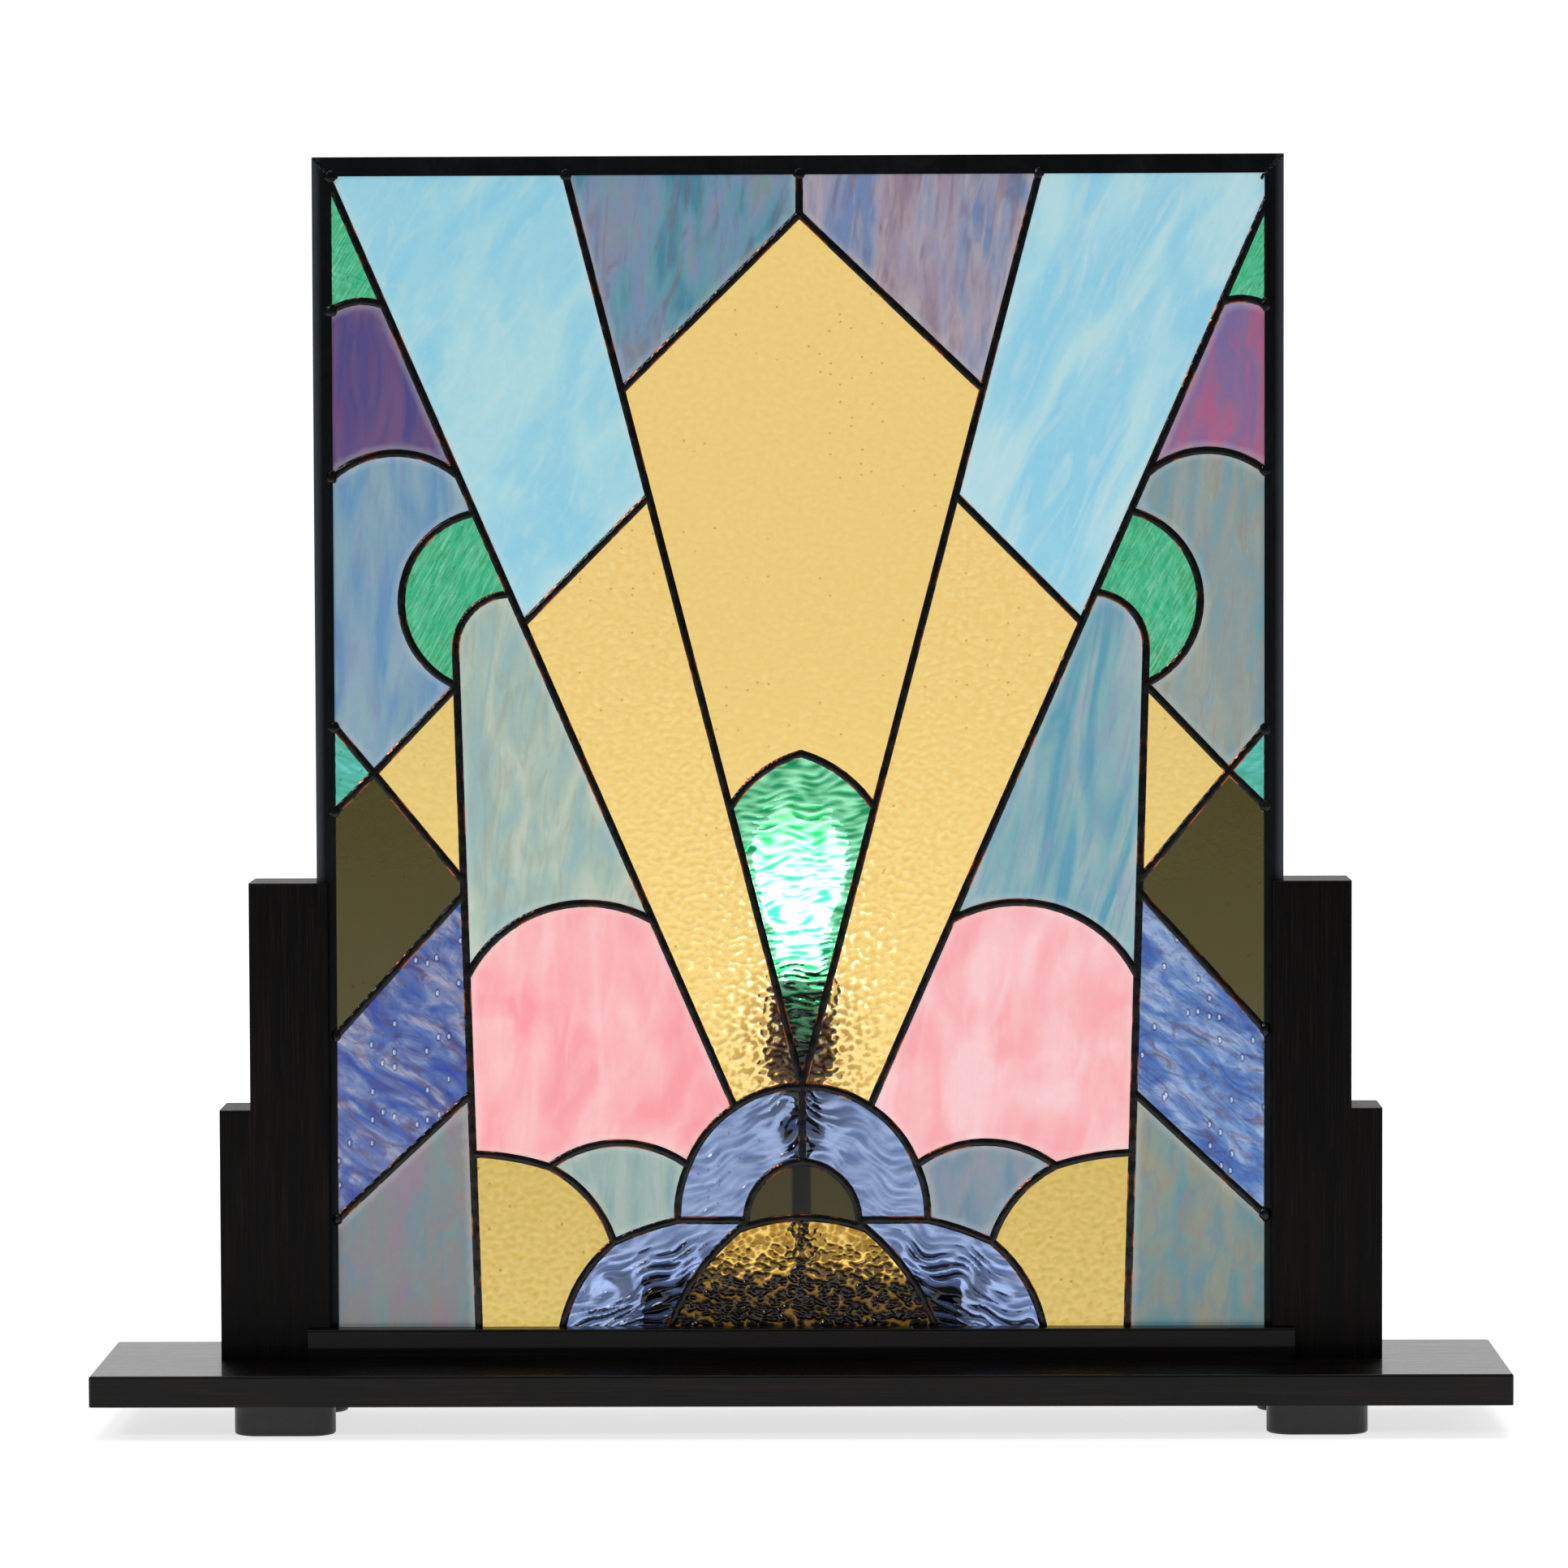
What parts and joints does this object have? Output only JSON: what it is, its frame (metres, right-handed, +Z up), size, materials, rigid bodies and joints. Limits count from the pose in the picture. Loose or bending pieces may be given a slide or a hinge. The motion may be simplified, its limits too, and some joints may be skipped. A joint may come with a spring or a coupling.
{
  "type": "stained glass table lamp",
  "caption": "Leaded glass panel in a dark metal frame, standing in two grooved wooden posts on a footed board, lit from behind by a socketed bulb",
  "frame": {"origin": "on the floor under the middle of the base board", "axes": "+X to the right along the board as seen from the front, +Y to the back across it, +Z up"},
  "size_m": [0.7, 0.1244, 0.6312],
  "materials": {
    "big_dome_glass": "coarse hammered dark gold",
    "black_foot": "satin black",
    "black_solder": "black patina, glossy and slightly wavy",
    "blackened_steel": "blackened",
    "blue_quarter_glass": "rippled",
    "bottom_corner_glass": "opalescent grey with lilac and blue",
    "brass": "stamped",
    "bulb_cap_metal": "stamped",
    "bulb_glass": "soft white coated",
    "bulb_insulator": "black vitrified glass with a solder tip",
    "centre_gold_glass": "lightly hammered with seeds",
    "clear_glass": "clear",
    "corner_green_glass": "rippled",
    "cover_board": "matte black stain",
    "dark_came": "dark gunmetal patina, satin",
    "ebonised_wood": "satin lacquer over fine straight grain",
    "filament": "fine wire",
    "gold_kite_glass": "hammered with seeds",
    "gold_petal_glass": "hammered",
    "gold_ray_glass": "hammered with seeds",
    "green_leaf_glass": "rippled",
    "insulator": "moulded black-brown",
    "light_blue_glass": "opalescent with white wisps",
    "olive_glass": "smooth with seeds",
    "opal_wedge_glass": "opalescent",
    "pink_glass": "mottled opalescent",
    "purple_glass": "streaky purple with pink and red",
    "rainbow_glass": "rippled streaky",
    "screw_steel": "bright zinc",
    "side_opal_glass": "opalescent blue grey",
    "side_triangle_glass": "rippled",
    "small_dome_glass": "smooth",
    "socket_metal": "dark bronze",
    "streaky_blue_glass": "streaky with long bubbles",
    "tall_opal_glass": "opalescent grey green and teal",
    "teardrop_glass": "deeply rippled",
    "upper_grey_glass": "opalescent grey blue with lilac and brown streaks"
  },
  "bodies": {
    "stand": {"base_board": "ebonised_wood", "block_nut": "blackened_steel", "bottom_rail": "ebonised_wood", "centre_contact": "brass", "cover_screws": "screw_steel", "foot_front_left": "black_foot", "foot_front_right": "black_foot", "foot_rear_left": "black_foot", "foot_rear_right": "black_foot", "foot_screws": "screw_steel", "lamp_block": "ebonised_wood", "lamp_pipe": "blackened_steel", "lower_nut": "screw_steel", "pipe_washer": "screw_steel", "post_left": "ebonised_wood", "post_right": "ebonised_wood", "post_screws": "screw_steel", "screw_sleeve": "brass", "socket_cap": "socket_metal", "socket_core": "insulator", "socket_shell": "socket_metal", "under_cover": "cover_board"},
    "panel": {"came_bottom": "dark_came", "came_left": "dark_came", "came_right": "dark_came", "came_top": "dark_came", "glass_big_dome": "big_dome_glass", "glass_blue_quarter": "blue_quarter_glass", "glass_bottom_corner": "bottom_corner_glass", "glass_centre_gold": "centre_gold_glass", "glass_corner_green": "corner_green_glass", "glass_gold_kite": "gold_kite_glass", "glass_gold_petal": "gold_petal_glass", "glass_gold_ray": "gold_ray_glass", "glass_green_leaf": "green_leaf_glass", "glass_light_blue_left": "light_blue_glass", "glass_light_blue_right": "light_blue_glass", "glass_olive": "olive_glass", "glass_opal_wedge": "opal_wedge_glass", "glass_pink": "pink_glass", "glass_purple_left": "purple_glass", "glass_purple_right": "purple_glass", "glass_rainbow": "rainbow_glass", "glass_side_opal_left": "side_opal_glass", "glass_side_opal_right": "side_opal_glass", "glass_side_triangle": "side_triangle_glass", "glass_small_dome": "small_dome_glass", "glass_streaky_blue": "streaky_blue_glass", "glass_tall_opal_left": "tall_opal_glass", "glass_tall_opal_right": "tall_opal_glass", "glass_teardrop": "teardrop_glass", "glass_upper_grey_left": "upper_grey_glass", "glass_upper_grey_right": "upper_grey_glass", "solder_seams": "black_solder"},
    "bulb": {"bulb_cap": "bulb_cap_metal", "bulb_envelope": "bulb_glass", "bulb_filament": "filament", "bulb_insulator": "bulb_insulator", "bulb_stem": "clear_glass"},
    "knob": {"switch_knob": "insulator"}
  },
  "joints": [
    {"name": "panel_lift", "type": "slide", "parent": "stand", "child": "panel", "axis": [0, 0, 1], "range_m": [0, 0.239]},
    {"name": "bulb_unscrew", "type": "hinge", "parent": "stand", "child": "bulb", "pos_m": [0, 0.03275, 0.2], "axis": [0, 0, 1], "range_deg": [0, 1980]},
    {"name": "switch_turn", "type": "hinge", "parent": "stand", "child": "knob", "pos_m": [0, 0.03275, 0.1832], "axis": [0, 1, 0], "continuous": true}
  ]
}
